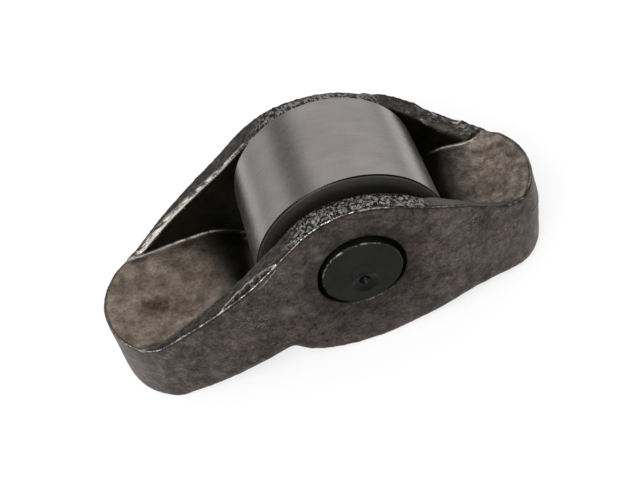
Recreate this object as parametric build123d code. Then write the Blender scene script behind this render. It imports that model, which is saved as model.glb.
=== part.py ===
from build123d import *
import math
import os

os.makedirs("parts", exist_ok=True)

# ---------------------------------------------------------------------------
# End-pivot roller rocker arm (finger follower), millimetres, +Z up.
# Origin: centre of the roller and its pin.  +X runs along the arm, from the
# pivot end (-X) to the valve end (+X).  +Y is along the roller pin.
# ---------------------------------------------------------------------------

# roller set
ROLLER_R = 11.1            # outside radius of the cam roller
ROLLER_HALF = 6.75         # half the roller's width
ROLLER_CHAMFER = 0.15
PIN_R = 4.60               # pin radius, also the press bore in the arm
PIN_HALF = 10.25           # half the pin's length, a little proud of the arm
PIN_CHAMFER = 0.15
NEEDLES = 17
NEEDLE_R = 1.00
NEEDLE_HALF = 6.55
NEEDLE_GAP = 0.02          # radial running clearance, inside and outside
NEEDLE_PITCH_R = PIN_R + NEEDLE_GAP + NEEDLE_R
ROLLER_BORE_R = NEEDLE_PITCH_R + NEEDLE_R + NEEDLE_GAP
DIMPLE_OFFSET = 1.60       # centre-drilled dimple in the pin's end faces
DIMPLE_R = 1.55
DIMPLE_DEPTH = 0.45

# forged arm
POCKET_R = 11.95           # roller pocket, concentric with the roller
POCKET_HALF = 7.05         # half the distance between the thrust faces
THRUST_R = 9.30            # round thrust face inside each wall
THRUST_FOOT_R = 10.30      # where its edge runs out into the wall
FLANK_HALF = 8.40          # half the distance between the walls' inner faces
MOUTH_R = 5.05             # relief round the pin's ends
MOUTH_FLOOR = 9.35         # |y| where that relief starts
BOSS_R = 12.55             # underside of the walls round the pin
SLOPE_START = (-24.2, -14.15)   # underside of the pivot block
NOTCH = (-9.75, -8.25)
LEVEL = 3.60               # turn that sets the underside level, degrees

TIP_GROWTH = 0.80          # the valve end swells this much below its rim

RIM_X = 14.60              # circle that the valve end's rim follows
RIM_R = 8.25
RIM_LEAN = 0.15            # lean of the valve end below its rim, mm per mm

# pivot socket, square to the sloping underside
SOCKET_X = -18.40
SOCKET_R = 4.00
SOCKET_MOUTH = 1.50        # length of the cylindrical mouth
SOCKET_BALL_R = 4.40

# valve end
SLOT_HALF = 3.75           # half the slot between the guide flanges
SLOT_ROOF = -6.80          # top of the slot beside the contact pad
PAD_X = 15.30
PAD_CROWN_R = 13.0         # crown radius of the valve contact pad
PAD_DROP = 0.90            # how far the crown stands down into the slot

# ---------------------------------------------------------------------------
# plan outline, half of it (y >= 0), from the pivot tip to the valve tip
# ---------------------------------------------------------------------------
OUTLINE_TOP = [
    (-29.85, 0.0), (-29.15, 3.56), (-27.15, 6.58), (-24.2, 8.55),
    (-21.5, 9.42), (-18.5, 10.15), (-15.0, 10.68), (-11.5, 10.95),
    (-8.0, 10.9), (-5.0, 10.45), (-2.0, 10.08), (1.5, 9.98),
    (5.0, 10.05), (8.0, 10.02), (10.0, 9.78), (12.0, 9.28),
    (14.5, 8.66), (17.0, 7.82), (19.0, 6.82), (21.0, 4.98),
    (22.3, 2.7), (22.8, 0.0),
]


def grown(points, amount):
    """The outline with its valve end pushed out by amount."""
    out = []
    for x, y in points:
        t = min(max((x - 15.5) / 6.5, 0.0), 1.0)
        t = t * t * (3.0 - 2.0 * t)
        k = amount * t
        r = math.hypot(x - PAD_X, y)
        out.append((x + k * (x - PAD_X) / r, y + k * y / r))
    return out


outline = grown(OUTLINE_TOP, TIP_GROWTH)
ring = [(x, y, -17.0) for x, y in outline]
ring += [(x, -y, -17.0) for x, y in reversed(outline[1:-1])]
plan = Spline(*ring, periodic=True)
envelope = extrude(make_face([plan]), amount=31.0, dir=(0, 0, 1))

# ---------------------------------------------------------------------------
# side profile: the trimmed top edge and the underside
# ---------------------------------------------------------------------------
TOP = [
    (-32.0, -4.55), (-28.5, -4.80), (-26.2, -5.02), (-25.0, -4.85),
    (-23.0, -3.70), (-20.0, -1.60), (-17.0, 0.30), (-15.0, 1.62),
    (-12.5, 3.25), (-10.0, 5.20), (-7.3, 7.20), (-4.5, 8.75),
    (-2.0, 9.35), (0.0, 9.42), (2.0, 9.15), (4.5, 8.42),
    (7.1, 7.35), (9.2, 6.40), (11.0, 5.42), (13.2, 4.10),
    (15.1, 2.85), (16.8, 1.62), (18.2, 0.62), (19.4, 0.02),
    (20.6, -0.12), (22.0, 0.05), (25.0, 0.45),
]
NOTCH_ARC_END = (BOSS_R * math.cos(math.radians(-75)),
                 BOSS_R * math.sin(math.radians(-75)))
arc_start_angle = math.atan2(NOTCH[1], NOTCH[0])
arc_start = (BOSS_R * math.cos(arc_start_angle),
             BOSS_R * math.sin(arc_start_angle))
arc_mid = (BOSS_R * math.cos(math.radians(-100)),
           BOSS_R * math.sin(math.radians(-100)))
UNDER_RIGHT = [
    NOTCH_ARC_END, (5.2, -11.62), (7.2, -11.08), (9.2, -10.58),
    (11.2, -10.24), (13.4, -10.16), (16.0, -10.38), (18.6, -10.72),
    (21.0, -11.05), (25.0, -11.55),
]


def at(point):
    return (point[0], 0, point[1])


top_edge = Spline(*[at(p) for p in TOP])
right_side = Line(at(TOP[-1]), at(UNDER_RIGHT[-1]))
arc_tangent = (math.sin(math.radians(75)), 0, math.cos(math.radians(75)))
under_right = Spline(*[at(p) for p in reversed(UNDER_RIGHT)],
                     tangents=((-1, 0, 0.15), tuple(-v for v in arc_tangent)))
boss = ThreePointArc(at(NOTCH_ARC_END), at(arc_mid), at(arc_start))
slope = Line(at(arc_start), at(SLOPE_START))
flat = Line(at(SLOPE_START), (-32.0, 0, SLOPE_START[1]))
left_side = Line((-32.0, 0, SLOPE_START[1]), at(TOP[0]))
profile = make_face([top_edge, right_side, under_right, boss, slope, flat,
                     left_side])
side = extrude(profile, amount=13.0, dir=(0, 1, 0), both=True)

body = envelope & side

# ---------------------------------------------------------------------------
# the valve-end walls' top lands fall away inward, more and more to the tip
# ---------------------------------------------------------------------------
LAND = [  # x, outer |y|, outer z, fall per mm inward, width cut
    (7.0, 10.05, 7.40, 0.03, 3.2), (9.5, 9.88, 6.26, 0.24, 3.2),
    (12.0, 9.28, 4.83, 0.52, 3.2), (14.5, 8.66, 3.25, 0.80, 3.0),
    (17.0, 7.82, 1.50, 0.86, 2.3), (18.8, 6.95, 0.38, 0.50, 1.0),
    (20.8, 6.5, 0.80, 0.10, 1.0),
]


def land_section(x, y, z, fall, inner, sign):
    outer = y + 0.6
    pts = [(x, sign * outer, z + 0.6 * fall),
           (x, sign * (y - inner), z - inner * fall),
           (x, sign * (y - inner), 15.0),
           (x, sign * outer, 15.0)]
    return make_face(Polyline(*pts, close=True))


for sign in (1, -1):
    cutter = loft([land_section(*row, sign) for row in LAND],
                  ruled=True)
    body = body - cutter

# ---------------------------------------------------------------------------
# dished pads between the walls
# ---------------------------------------------------------------------------
LEFT_DISH = (-17.5, -6.25, 62.0)     # x of the lowest point, its z, radius
RIGHT_DISH = (13.5, -2.20, 21.2)

INNER_LEFT = [(-33.0, 7.0), (-26.3, 7.25), (-23.5, 7.65), (-20.5, 8.12),
              (-17.5, 8.36), (-14.0, FLANK_HALF), (0.0, FLANK_HALF)]
INNER_RIGHT = [(0.0, 8.2), (6.0, 8.25), (9.0, 7.85), (11.2, 7.4),
               (12.8, 6.95), (14.5, 6.4), (16.2, 5.95), (17.8, 5.75),
               (19.2, 6.1), (20.4, 7.0), (22.0, 9.0), (24.0, 12.0)]


def inner_prism(points):
    up = Spline(*[(x, y, -14.0) for x, y in points])
    down = Spline(*[(x, -y, -14.0) for x, y in reversed(points)])
    a = Line((points[-1][0], points[-1][1], -14.0),
             (points[-1][0], -points[-1][1], -14.0))
    b = Line((points[0][0], -points[0][1], -14.0),
             (points[0][0], points[0][1], -14.0))
    return extrude(make_face([up, a, down, b]), amount=30.0, dir=(0, 0, 1))


def dish(spec):
    x, z, r = spec
    return Pos(x, 0, z + r) * Sphere(r)


# each pad falls away towards the roller over a rounded lip
LEFT_LIP = (-16.30, -12.12, 6.40)    # centre x, centre z, radius
RIGHT_LIP_R = 5.70
RIGHT_LIP_Z = -6.95
RIGHT_LIP = (math.sqrt((POCKET_R + RIGHT_LIP_R) ** 2 - RIGHT_LIP_Z ** 2),
             RIGHT_LIP_Z, RIGHT_LIP_R)


def lip(spec, side):
    """What stands above the lip's arc, from its crest to the roller's side."""
    x, z, r = spec
    a = math.radians(70)
    foot = (x - side * r * math.sin(a), z + r * math.cos(a))
    mid = (x - side * r * math.sin(a / 2), z + r * math.cos(a / 2))
    face = make_face([
        ThreePointArc(at((x, z + r)), at(mid), at(foot)),
        Line(at(foot), at((side * 6.0, foot[1]))),
        Line(at((side * 6.0, foot[1])), at((side * 6.0, 1.0))),
        Line(at((side * 6.0, 1.0)), at((x, 1.0))),
        Line(at((x, 1.0)), at((x, z + r))),
    ])
    return extrude(face, amount=12.0, dir=(0, 1, 0), both=True)


# the web stays joined to the walls beside the pocket, up to this height
CORNER_FLOOR = -7.40
left_lip = lip(LEFT_LIP, -1)
for sign in (1, -1):
    left_lip = left_lip - Pos(-9.5, sign * (POCKET_HALF + 4.0),
                              CORNER_FLOOR - 4.0) * Box(9.0, 8.0, 8.0)

left_cut = inner_prism(INNER_LEFT) & (dish(LEFT_DISH) + left_lip)
right_cut = (inner_prism(INNER_RIGHT) + Pos(27.9, 0, 1.0) * Box(
    8.0, 24.0, 30.0)) & (dish(RIGHT_DISH) + lip(RIGHT_LIP, 1))


def y_disc(radius, half):
    return Rot(90, 0, 0) * Cylinder(radius, 2 * half)


thrust = None
for sign in (1, -1):
    rise = FLANK_HALF - POCKET_HALF
    slope_r = (THRUST_FOOT_R - THRUST_R) / rise
    pad = Pos(0, sign * (POCKET_HALF + 1.5 * rise), 0) * Rot(
        -90 * sign, 0, 0) * Cone(THRUST_R, THRUST_R + 3 * rise * slope_r,
                                 3 * rise)
    thrust = pad if thrust is None else thrust + pad
body = body - (left_cut - thrust) - (right_cut - thrust)

# roller pocket, open above and below
pocket = y_disc(POCKET_R, POCKET_HALF)
pocket += Pos(-0.35, 0, -9.0) * Box(15.9, 2 * POCKET_HALF, 18.0)
body = body - pocket

# the valve end leans in towards its rim
rim_keep = Pos(-11.0, 0, 0) * Box(58.0, 40.0, 50.0)
rim_keep += Pos(RIM_X, 0, 9.2) * Cylinder(RIM_R, 18.0)
rim_keep += Pos(RIM_X, 0, -6.3) * Cone(RIM_R + 13.0 * RIM_LEAN, RIM_R, 13.0)
body = body & rim_keep

# ---------------------------------------------------------------------------
# pin bore with its relieved mouths
# ---------------------------------------------------------------------------
body = body - y_disc(PIN_R, 14.0)
for sign in (1, -1):
    body = body - Pos(0, sign * (MOUTH_FLOOR + 2.5), 0) * (
        Rot(90, 0, 0) * Cylinder(MOUTH_R, 5.0))

# ---------------------------------------------------------------------------
# underside: pivot socket
# ---------------------------------------------------------------------------
dx, dz = arc_start[0] - SLOPE_START[0], arc_start[1] - SLOPE_START[1]
slope_len = math.hypot(dx, dz)
along = (dx / slope_len, dz / slope_len)
into = (-along[1], along[0])            # into the metal, square to the slope
mouth_z = SLOPE_START[1] + (SOCKET_X - SLOPE_START[0]) * along[1] / along[0]
tilt = math.degrees(math.atan2(into[0], into[1]))
cap = SOCKET_BALL_R - math.sqrt(SOCKET_BALL_R ** 2 - SOCKET_R ** 2)
socket = Pos(0, 0, SOCKET_MOUTH / 2 - 2.0) * Cylinder(SOCKET_R,
                                                      SOCKET_MOUTH + 4.0)
ball = Pos(0, 0, SOCKET_MOUTH + cap - SOCKET_BALL_R) * Sphere(SOCKET_BALL_R)
keep = Pos(0, 0, SOCKET_MOUTH + 2.0 - 0.01) * Cylinder(SOCKET_R, 4.0 + 0.02)
socket += ball & keep
body = body - Pos(SOCKET_X, 0, mouth_z) * Rot(0, tilt, 0) * socket

# underside: slot between the guide flanges, with a crowned contact pad
slot = Pos(PAD_X - 0.2, 0, SLOT_ROOF - 5.0) * Box(11.0, 2 * SLOT_HALF, 10.0)
crown = y_disc(PAD_CROWN_R, SLOT_HALF + 1)
crown = Pos(PAD_X, 0, SLOT_ROOF - PAD_DROP + PAD_CROWN_R) * crown
slot = fillet(slot.edges().filter_by(Axis.Z), 1.2) - crown
body = body - slot

body = Rot(0, LEVEL, 0) * body
rocker_body = body.solids().sort_by(SortBy.VOLUME)[-1]
print("arm solids", len(body.solids()), "valid", rocker_body.is_valid)

# ---------------------------------------------------------------------------
# pin, roller and needles
# ---------------------------------------------------------------------------
pin = y_disc(PIN_R, PIN_HALF)
pin = chamfer(pin.edges().filter_by(GeomType.CIRCLE), PIN_CHAMFER)
dimple_ball_r = (DIMPLE_R ** 2 + DIMPLE_DEPTH ** 2) / (2 * DIMPLE_DEPTH)
for sign in (1, -1):
    face_y = sign * PIN_HALF
    pin = pin - Pos(0, face_y + sign * (dimple_ball_r - DIMPLE_DEPTH),
                    -DIMPLE_OFFSET) * Sphere(dimple_ball_r)
    drill = Cone(0.15, 0.75, 0.9)
    turn = Rot(-90, 0, 0) if sign > 0 else Rot(90, 0, 0)
    pin = pin - Pos(0, face_y - sign * (DIMPLE_DEPTH + 0.25),
                    -DIMPLE_OFFSET) * turn * drill

roller = y_disc(ROLLER_R, ROLLER_HALF)
roller = chamfer(roller.edges().filter_by(GeomType.CIRCLE), ROLLER_CHAMFER)
bore = y_disc(ROLLER_BORE_R, ROLLER_HALF + 1)
roller = roller - bore

needles = []
for i in range(NEEDLES):
    a = 2 * math.pi * i / NEEDLES
    n = y_disc(NEEDLE_R, NEEDLE_HALF)
    n = fillet(n.edges().filter_by(GeomType.CIRCLE), 0.35)
    needles.append(Pos(NEEDLE_PITCH_R * math.sin(a), 0,
                       NEEDLE_PITCH_R * math.cos(a)) * n)


def single(shape):
    return shape.solids().sort_by(SortBy.VOLUME)[-1]


export_step(rocker_body, "parts/rocker_body.step")
export_step(single(pin), "parts/pin.step")
export_step(single(roller), "parts/roller.step")
for i, n in enumerate(needles):
    export_step(single(n), "parts/needle_%02d.step" % (i + 1))
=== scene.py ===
import bpy
import bmesh
import math
import time
import numpy as np
from mathutils import Matrix, Vector
from mathutils.bvhtree import BVHTree
from mathutils.kdtree import KDTree


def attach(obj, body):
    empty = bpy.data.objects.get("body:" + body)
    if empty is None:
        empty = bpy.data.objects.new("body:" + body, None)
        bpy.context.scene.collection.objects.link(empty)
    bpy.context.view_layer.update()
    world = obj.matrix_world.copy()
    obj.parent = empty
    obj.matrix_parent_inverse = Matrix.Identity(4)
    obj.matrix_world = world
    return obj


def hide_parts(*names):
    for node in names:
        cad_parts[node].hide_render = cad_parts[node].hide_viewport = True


T0 = time.time()
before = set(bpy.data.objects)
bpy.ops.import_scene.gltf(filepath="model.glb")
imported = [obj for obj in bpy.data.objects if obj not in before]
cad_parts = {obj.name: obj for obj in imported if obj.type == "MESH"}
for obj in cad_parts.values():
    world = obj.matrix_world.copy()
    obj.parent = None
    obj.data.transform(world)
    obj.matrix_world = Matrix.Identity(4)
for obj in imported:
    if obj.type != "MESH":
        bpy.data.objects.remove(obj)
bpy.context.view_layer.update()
scene = bpy.context.scene
MM = 0.001
LEVEL = math.radians(3.6)      # turn between the walls' own axes and the frame


def say(*words):
    print("[%.1f s]" % (time.time() - T0), *words, flush=True)


# ---------------------------------------------------------------------------
# small tools
# ---------------------------------------------------------------------------
def to_wall(p):
    """Frame millimetres to the walls' own axes, in which the side profile is drawn."""
    c, s = math.cos(LEVEL), math.sin(LEVEL)
    out = np.array(p, float)
    out[:, 0] = p[:, 0] * c - p[:, 2] * s
    out[:, 2] = p[:, 0] * s + p[:, 2] * c
    return out


class Noise:
    """Seeded gradient noise on arrays of points, about -1 to 1."""

    def __init__(self, seed):
        rng = np.random.default_rng(seed)
        self.perm = np.tile(rng.permutation(256), 2)
        g = rng.normal(size=(256, 3))
        self.grad = g / np.linalg.norm(g, axis=1)[:, None]

    def __call__(self, p):
        i = np.floor(p).astype(int)
        f = p - i
        i &= 255
        u = f * f * f * (f * (f * 6 - 15) + 10)
        total = 0.0
        for dx in (0, 1):
            for dy in (0, 1):
                for dz in (0, 1):
                    h = self.perm[(self.perm[(self.perm[(i[:, 0] + dx) & 255]
                                              + i[:, 1] + dy) & 255]
                                   + i[:, 2] + dz) & 255]
                    g = self.grad[h]
                    d = (g[:, 0] * (f[:, 0] - dx) + g[:, 1] * (f[:, 1] - dy)
                         + g[:, 2] * (f[:, 2] - dz))
                    w = ((u[:, 0] if dx else 1 - u[:, 0])
                         * (u[:, 1] if dy else 1 - u[:, 1])
                         * (u[:, 2] if dz else 1 - u[:, 2]))
                    total = total + d * w
        return total * 1.6

    def fractal(self, p, octaves=3, gain=0.5):
        total, amp = 0.0, 1.0
        for k in range(octaves):
            total = total + amp * self(p * 2.03 ** k + 17.3 * k)
            amp *= gain
        return total


def smooth(a, b, x):
    t = np.clip((x - a) / (b - a), 0.0, 1.0)
    return t * t * (3 - 2 * t)


def coords(mesh):
    co = np.empty(len(mesh.vertices) * 3, np.float32)
    mesh.vertices.foreach_get("co", co)
    return co.reshape(-1, 3).astype(float)


def set_coords(mesh, co):
    mesh.vertices.foreach_set("co", np.ascontiguousarray(
        co, np.float32).reshape(-1))
    mesh.update()


def normals(mesh):
    n = np.empty(len(mesh.vertices) * 3, np.float32)
    mesh.vertex_normals.foreach_get("vector", n)
    return n.reshape(-1, 3).astype(float)


def add_mask(mesh, name, values):
    a = mesh.attributes.new(name, "FLOAT", "POINT")
    a.data.foreach_set("value", np.ascontiguousarray(values, np.float32))


def to_mesh(obj):
    """The object with its modifiers applied."""
    dg = bpy.context.evaluated_depsgraph_get()
    new = bpy.data.meshes.new_from_object(obj.evaluated_get(dg))
    obj.modifiers.clear()
    old = obj.data
    obj.data = new
    bpy.data.meshes.remove(old)
    return obj


# ---------------------------------------------------------------------------
# the forged arm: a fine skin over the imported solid
# ---------------------------------------------------------------------------
# the trimmed upper edge in the side view, in the walls' own axes
TOP_LINE = np.array([
    (-32.0, -4.55), (-28.5, -4.80), (-26.2, -5.02), (-25.0, -4.85),
    (-23.0, -3.70), (-20.0, -1.60), (-17.0, 0.30), (-15.0, 1.62),
    (-12.5, 3.25), (-10.0, 5.20), (-7.3, 7.20), (-4.5, 8.75),
    (-2.0, 9.35), (0.0, 9.42), (2.0, 9.15), (4.5, 8.42),
    (7.1, 7.35), (9.2, 6.40), (11.0, 5.42), (13.2, 4.10),
    (15.1, 2.85), (16.8, 1.62), (18.2, 0.62), (19.4, 0.02),
    (20.6, -0.12), (22.0, 0.05), (25.0, 0.45)])


VOXEL = 0.19
FACES = 192000

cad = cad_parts["rocker_body"]
src = bpy.data.meshes.new("arm_source")
bm = bmesh.new()
bm.from_mesh(cad.data)
bmesh.ops.transform(bm, matrix=Matrix.Scale(1000.0, 4), verts=bm.verts)
bmesh.ops.remove_doubles(bm, verts=bm.verts, dist=0.001)
bmesh.ops.recalc_face_normals(bm, faces=bm.faces)
bm.normal_update()

# sharp edges of the solid, sampled as points with the two normals, by kind
KINDS = ("top", "bottom", "inner", "foot", "lip", "crease", "other")
kinds = {k: [] for k in KINDS}
for e in bm.edges:
    if len(e.link_faces) != 2:
        continue
    n1, n2 = (f.normal.copy() for f in e.link_faces)
    if n1.dot(n2) > math.cos(math.radians(17)):
        continue
    sharp = n1.dot(n2) < math.cos(math.radians(24))
    if n1.z < n2.z:
        n1, n2 = n2, n1
    a, b = e.verts[0].co, e.verts[1].co
    mid = (a + b) / 2
    steep = abs(n2.z) < 0.45
    mw = to_wall(np.array([tuple(mid)]))[0]
    below = np.interp(mw[0], TOP_LINE[:, 0], TOP_LINE[:, 1]) - mw[2]
    at_top = abs(below) < 3.2 and math.hypot(mw[0], mw[2]) > 6.5
    if e.is_convex:
        outward = (n2.x * mid.x * 0.25 + n2.y * mid.y
                   > 0.3 * abs(mid.y) + 0.1 and steep) or (
            n1.x * mid.x * 0.25 + n1.y * mid.y
            > 0.3 * abs(mid.y) + 0.1 and abs(n1.z) < 0.45)
        if sharp and n1.z > 0.35 and outward and at_top:
            kind = "top"
        elif sharp and n2.z < -0.5 and outward:
            kind = "bottom"
        elif sharp and at_top and n1.z > 0.35 and steep and abs(mid.y) > 5.3 and (
                n2.y * mid.y < -0.4 * abs(mid.y)):
            kind = "inner"
        elif n2.z > 0.40 and abs(mid.y) < 8.5:
            kind = "lip"
        elif sharp:
            kind = "other"
        else:
            continue
    elif not sharp:
        continue
    elif n1.z > 0.35 and abs(n2.y) > 0.5 and mid.z < 0 and abs(mid.x) > 9:
        kind = "foot"
    else:
        kind = "crease"
    steps = max(1, int((b - a).length / 0.10))
    for k in range(steps + 1):
        kinds[kind].append((a.lerp(b, k / steps), n1, n2, e.is_convex))
trees, sides = {}, {}
for kind, pts in kinds.items():
    if not pts:
        pts = [(Vector((1e3, 1e3, 1e3)), Vector((0, 0, 1)),
                Vector((0, 0, 1)), True)]
    tree = KDTree(len(pts))
    for i, p in enumerate(pts):
        tree.insert(p[0], i)
    tree.balance()
    trees[kind] = tree
    sides[kind] = [np.array([tuple(p[k]) for p in pts]) for k in range(3)]
    sides[kind].append(np.array([-1.0 if p[3] else 1.0 for p in pts]))
bvh = BVHTree.FromBMesh(bm)
solid_co = np.array([tuple(v.co) for v in bm.verts])
bm.to_mesh(src)
bm.free()
say("edges", {k: len(v) for k, v in kinds.items()})

arm = bpy.data.objects.new("forged_arm", src)
scene.collection.objects.link(arm)
m = arm.modifiers.new("skin", "REMESH")
m.mode = "VOXEL"
m.voxel_size = VOXEL
m.adaptivity = 0.0
to_mesh(arm)
mesh = arm.data
co = coords(mesh)
say("skin", len(co), "points", len(mesh.polygons), "faces")

# back onto the solid's own surface, and its normal there
near = np.empty_like(co)
near_n = np.empty_like(co)
for i, p in enumerate(co):
    hit, n, _, _ = bvh.find_nearest(p)
    near[i] = hit
    near_n[i] = n


def distances(points, kind, reach=3.0):
    tree = trees[kind]
    out = np.empty(len(points))
    for i, p in enumerate(points):
        out[i] = min(tree.find(p)[2], reach)
    return out


def beside(points, kind, reach=3.0):
    """Distance to the nearest edge of a kind, and how far below (or above)
    each of the edge's two faces a point lies."""
    tree = trees[kind]
    idx = np.empty(len(points), int)
    dist = np.empty(len(points))
    for i, p in enumerate(points):
        _, idx[i], dist[i] = tree.find(p)
    q, n1, n2, sign = (v[idx] for v in sides[kind])
    off = points - q
    a = sign * (off * n1).sum(1)
    b = sign * (off * n2).sum(1)
    return (np.minimum(dist, reach), np.clip(a, -reach, reach),
            np.clip(b, -reach, reach), n1, n2)


box_lo, box_hi = solid_co.min(0), solid_co.max(0)
d_top, top_a, top_b, _, _ = beside(near, "top")
d_in, in_a, in_b, in_n1, in_n2 = beside(near, "inner")
d_bot = distances(near, "bottom")
d_lip = distances(near, "lip", 5.0)
d_crease = np.minimum(distances(near, "crease"), distances(near, "foot"))
d_other = distances(near, "other")
co = near.copy()
set_coords(mesh, co)
say("fitted")


def bevel_width(x, y):
    """Width of the sheared bevel along the far wall's inner upper edge."""
    w = np.interp(x, [-25.2, -24.4, -22.0, -19.0, -14.0, -10.0, -7.6, -6.6,
                      11.6, 13.0, 17.4, 18.4],
                  [0.0, 0.55, 0.62, 0.48, 0.34, 0.26, 0.20, 0.0,
                   0.0, 0.20, 0.26, 0.0])
    return np.where(y > 0, w, 0.45 * w)


def land_in(x, y):
    """Inner border of the trimmed lands, from the middle plane."""
    return np.where(y > 0, np.interp(x, [7.0, 11.0], [6.4, 5.0]), 6.4)


def lens_edge(x):
    """Inner border of the folded burr on the near wall's land."""
    return np.interp(x, [-16.2, -15.2, -14.2, -13.2, -12.2, -11.2, -10.2,
                         -9.4, -8.6],
                     [0.0, 0.42, 0.78, 0.98, 1.02, 0.90, 0.66, 0.38, 0.0])


def relax(co, mesh, weight, rounds, strength=0.5):
    """Laplacian smoothing by edges, weighted per point."""
    ed = np.empty(len(mesh.edges) * 2, np.int32)
    mesh.edges.foreach_get("vertices", ed)
    ed = ed.reshape(-1, 2)
    deg = np.bincount(ed.reshape(-1), minlength=len(co)).astype(float)
    w = (weight * strength)[:, None]
    for _ in range(rounds):
        acc = np.zeros_like(co)
        for k in range(3):
            acc[:, k] = (np.bincount(ed[:, 0], co[ed[:, 1], k], len(co))
                         + np.bincount(ed[:, 1], co[ed[:, 0], k], len(co)))
        co = co + w * (acc / deg[:, None] - co)
    return co


# round the edges: the lower ones most, the trimmed upper ones least
round_w = np.maximum.reduce([
    1.0 - smooth(0.35, 1.1, d_bot),
    0.50 * (1.0 - smooth(0.1, 0.40, d_top)),
    0.50 * (1.0 - smooth(0.1, 0.45, d_in)),
    0.8 * (1.0 - smooth(0.2, 0.7, d_other)),
    0.8 * (1.0 - smooth(0.2, 0.8, d_crease)),
])
co = relax(co, mesh, np.clip(round_w, 0, 1), 10)
heavy = 1.0 - smooth(0.4, 1.3, d_bot)
co = relax(co, mesh, heavy, 22)
# the pads run over into their lips without a step
soft = (1.0 - smooth(1.0, 2.6, d_lip)) * smooth(0.25, 0.9, d_crease)
co = relax(co, mesh, soft, 64)
# the sheared bevel along the walls' inner upper edges
ww = to_wall(co)
chip = Noise(71)
bev = bevel_width(ww[:, 0], ww[:, 1]) * (
    1.0 + 0.22 * chip(ww * np.array([1 / 2.4, 1 / 2.4, 1 / 2.4])))
on = (bev > 0.05) & (d_in < 2.0) & (in_a > -0.08) & (in_b > -0.08)
wd = np.where(on, bev, 1.0)
ht = 0.62 * wd
depth = in_a / ht + in_b / wd - 1.0
push = np.where(on & (depth < 0), -depth / (1 / ht ** 2 + 1 / wd ** 2), 0.0)
co = co - in_n1 * (push / ht)[:, None] - in_n2 * (push / wd)[:, None]
set_coords(mesh, co)
say("rounded")

# ---------------------------------------------------------------------------
# surface relief
# ---------------------------------------------------------------------------
nrm = normals(mesh)
w = to_wall(co)
wn = to_wall(nrm)
x, y, z = w[:, 0], w[:, 1], w[:, 2]
top_z = np.interp(x, TOP_LINE[:, 0], TOP_LINE[:, 1])
land = smooth(0.35, 0.7, wn[:, 2]) * smooth(1.9, 0.9, top_z - z) * smooth(
    0.0, 0.6, np.abs(y) - land_in(x, y)) * smooth(-27.5, -25.5, x) * smooth(
    19.0, 17.5, x)
land = land * (1.0 - smooth(0.9, 1.8, np.abs(top_z - z)))
outer = smooth(0.6, 0.3, np.abs(wn[:, 2])) * smooth(
    0.0, 0.3, (wn[:, 0] * x * 0.25 + wn[:, 1] * y))
grainzone = land * smooth(-7.8, -4.5, x) * smooth(8.8, 7.2, x)

n1, n2, n3, n4 = Noise(3), Noise(11), Noise(23), Noise(41)
swell = 0.10 * n1.fractal(w / 9.0, 2)
rough = 0.030 * n2.fractal(w / 1.6, 3)
grain = 0.115 * n3.fractal(w / 0.42, 2)
shear = 0.05 * n4.fractal(w * np.array([1 / 2.2, 1 / 0.45, 1 / 0.6]), 2)
pads = smooth(0.6, 0.85, wn[:, 2]) * (1 - land)
r_pin = np.hypot(x, z)
ring = (1.0 - smooth(6.3, 7.4, r_pin)) * (np.abs(y) > 9.0)
lift = swell * (0.3 + 0.7 * outer) * (1 - land) + rough * (
    1 - 0.55 * pads) * (1 - 0.7 * ring)
edge_far = np.where((y > 0) & (x > 5), smooth(0.0, 0.9, top_b), 1.0)
lift = lift * (1 - land) + edge_far * (
    land * (1 - grainzone) * shear + grainzone * grain)
# granular patches and a short ridge on the near wall
patch = np.maximum(
    1.0 - smooth(0.55, 1.15, np.hypot((x + 12.9) / 1.9, (z + 1.8) / 1.6)),
    1.0 - smooth(0.55, 1.15, np.hypot((x - 13.3) / 1.1, (z - 1.35) / 0.9)))
patch = patch * (y < -8.0) * outer
lift = lift + 0.055 * patch * n3.fractal(w / 0.40 + 3.1, 2)
lift = lift + 0.075 * np.exp(-((x - 6.0) / 0.42) ** 2) * smooth(
    1.2, 2.4, z) * smooth(5.4, 4.2, z) * (y < -9.0)
lift = lift - 0.09 * ring * outer
# nothing moves in the bores, the pocket or on the thrust faces
ny = np.abs(wn[:, 1])
inside = (np.abs(y) < 8.6) & (r_pin < 12.6) & (ny > 0.5) | (
    (np.abs(y) < 7.3) & (r_pin < 13.0) & (z < 7.0)) | (r_pin < 5.3)
still = 1.0 - smooth(0.0, 1.0, inside.astype(float))
lift = lift * still
# a ragged burr stands along the outer upper edge
burr = np.exp(-(d_top / 0.17) ** 2)
ragged = 0.55 + 0.6 * n2(w / 0.7 + 5.0) + 0.35 * n3(w / 2.6)
far = np.where(y > 0, 0.5, 1.0)
lift = lift * (1 - 0.6 * burr) + 0.08 * far * burr * np.clip(ragged, 0, 1.4)
# the folded burr: a raised inner border and a sunk middle
fold = lens_edge(x) * (y < 0) * (1.0 + 0.28 * n2(w / 0.9 + 2.0))
on_fold = smooth(0.04, 0.25, fold) * smooth(0.45, 0.1, np.abs(top_a))
lift = lift + 0.11 * on_fold * np.exp(-((top_b - fold) / 0.17) ** 2)
lift = lift - 0.13 * on_fold * smooth(0.10, 0.32, fold - top_b) * smooth(
    0.10, 0.28, top_b)
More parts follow.
